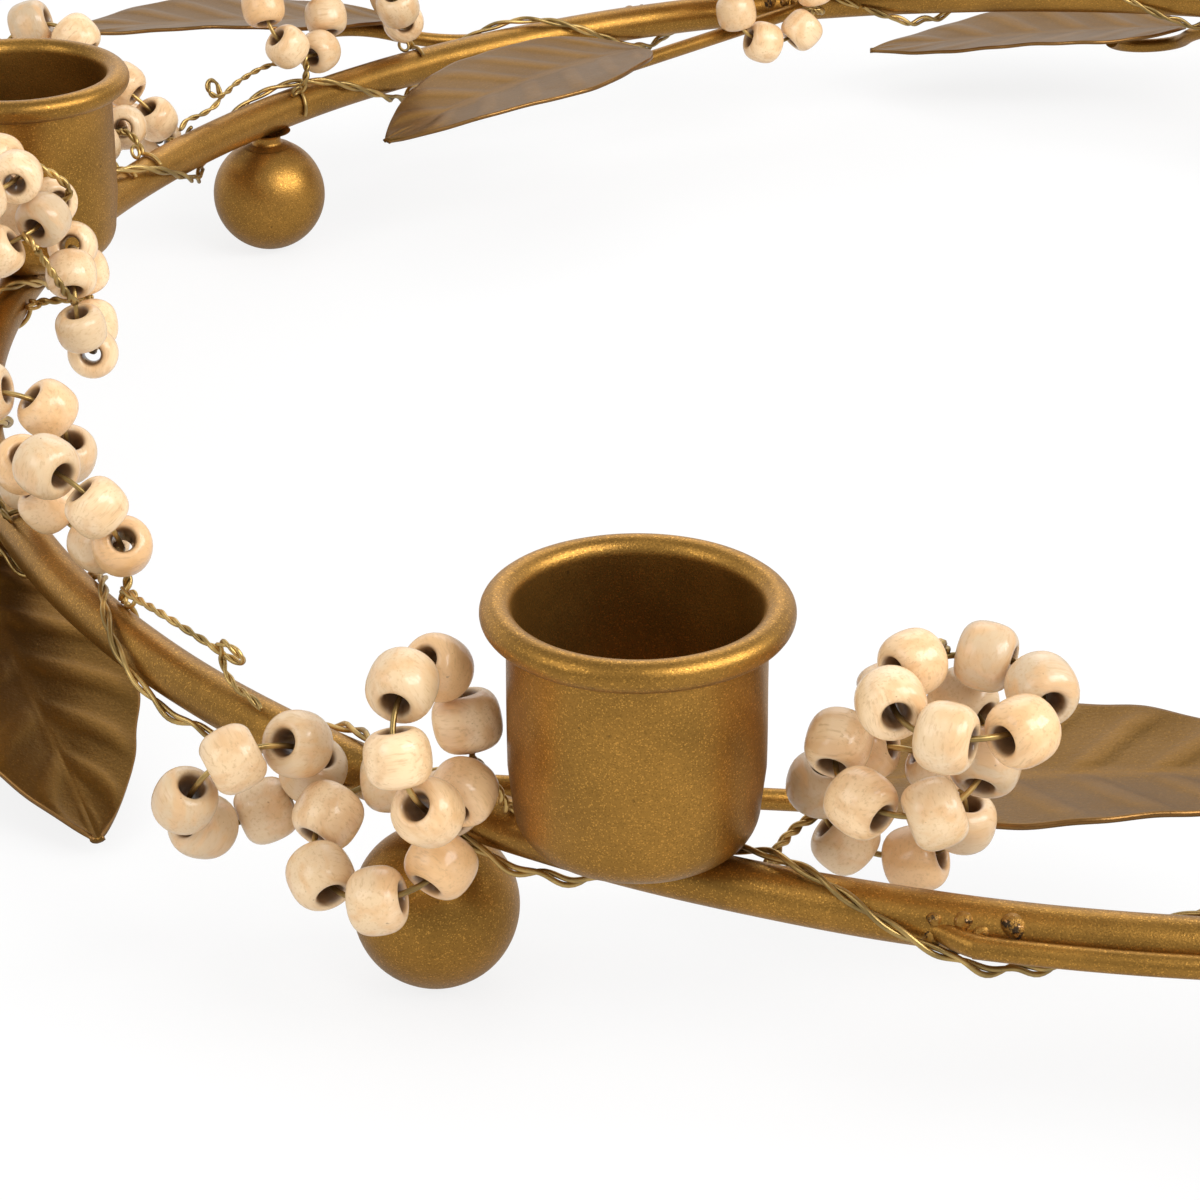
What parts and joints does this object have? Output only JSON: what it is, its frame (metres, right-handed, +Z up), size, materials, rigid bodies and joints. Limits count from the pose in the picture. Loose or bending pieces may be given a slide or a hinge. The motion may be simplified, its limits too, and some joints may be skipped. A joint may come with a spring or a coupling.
{
  "type": "candle ring",
  "caption": "Welded gold ring on ball feet with candle cups, pressed leaves and looped wire garland of wooden beads.",
  "frame": {"origin": "centre of the hoop on the table plane under the ball feet", "axes": "+Z up; +Y towards cup 1; the feet stand on the diagonals"},
  "size_m": [0.3243, 0.3374, 0.0481],
  "materials": {
    "gold_paint": "satin metallic",
    "leaf_bronze": "satin metallic",
    "brass_wire": "satin",
    "bead_wood": "satin"
  },
  "bodies": {
    "ring": {"ball_foot_1": "gold_paint", "ball_foot_2": "gold_paint", "ball_foot_3": "gold_paint", "ball_foot_4": "gold_paint", "bead_wires_1": "brass_wire", "bead_wires_2": "brass_wire", "bead_wires_3": "brass_wire", "bead_wires_4": "brass_wire", "bead_wires_5": "brass_wire", "beads_1": "bead_wood", "beads_2": "bead_wood", "beads_3": "bead_wood", "beads_4": "bead_wood", "beads_5": "bead_wood", "candle_cup_1": "gold_paint", "candle_cup_2": "gold_paint", "candle_cup_3": "gold_paint", "candle_cup_4": "gold_paint", "candle_cup_5": "gold_paint", "cup_braze": "gold_paint", "foot_necks": "gold_paint", "garland_wire": "brass_wire", "leaf_inner_1": "leaf_bronze", "leaf_inner_2": "leaf_bronze", "leaf_inner_3": "leaf_bronze", "leaf_inner_4": "leaf_bronze", "leaf_outer_1": "leaf_bronze", "leaf_outer_2": "leaf_bronze", "leaf_outer_3": "leaf_bronze", "leaf_outer_4": "leaf_bronze", "leaf_outer_5": "leaf_bronze", "ring_rod": "gold_paint", "stem_inner_1": "gold_paint", "stem_inner_2": "gold_paint", "stem_inner_3": "gold_paint", "stem_inner_4": "gold_paint", "stem_outer_1": "gold_paint", "stem_outer_2": "gold_paint", "stem_outer_3": "gold_paint", "stem_outer_4": "gold_paint", "stem_outer_5": "gold_paint", "stem_welds": "gold_paint"},
    "turning_bead_1": {"turning_bead_1": "bead_wood"},
    "turning_bead_2": {"turning_bead_2": "bead_wood"},
    "turning_bead_3": {"turning_bead_3": "bead_wood"},
    "turning_bead_4": {"turning_bead_4": "bead_wood"},
    "turning_bead_5": {"turning_bead_5": "bead_wood"}
  },
  "joints": [
    {"name": "bead_1_spin", "type": "hinge", "parent": "ring", "child": "turning_bead_1", "pos_m": [-0.02463, 0.13174, 0.03012], "axis": [-0.7252, -0.2665, -0.6349], "continuous": true},
    {"name": "bead_2_spin", "type": "hinge", "parent": "ring", "child": "turning_bead_2", "pos_m": [-0.1329, 0.01729, 0.03012], "axis": [0.0294, -0.7721, -0.6349], "continuous": true},
    {"name": "bead_3_spin", "type": "hinge", "parent": "ring", "child": "turning_bead_3", "pos_m": [-0.05751, -0.12105, 0.03012], "axis": [0.7433, -0.2107, -0.6349], "continuous": true},
    {"name": "bead_4_spin", "type": "hinge", "parent": "ring", "child": "turning_bead_4", "pos_m": [0.09736, -0.0921, 0.03012], "axis": [0.43, 0.6419, -0.6349], "continuous": true},
    {"name": "bead_5_spin", "type": "hinge", "parent": "ring", "child": "turning_bead_5", "pos_m": [0.11768, 0.06413, 0.03012], "axis": [-0.4776, 0.6073, -0.6349], "continuous": true}
  ]
}
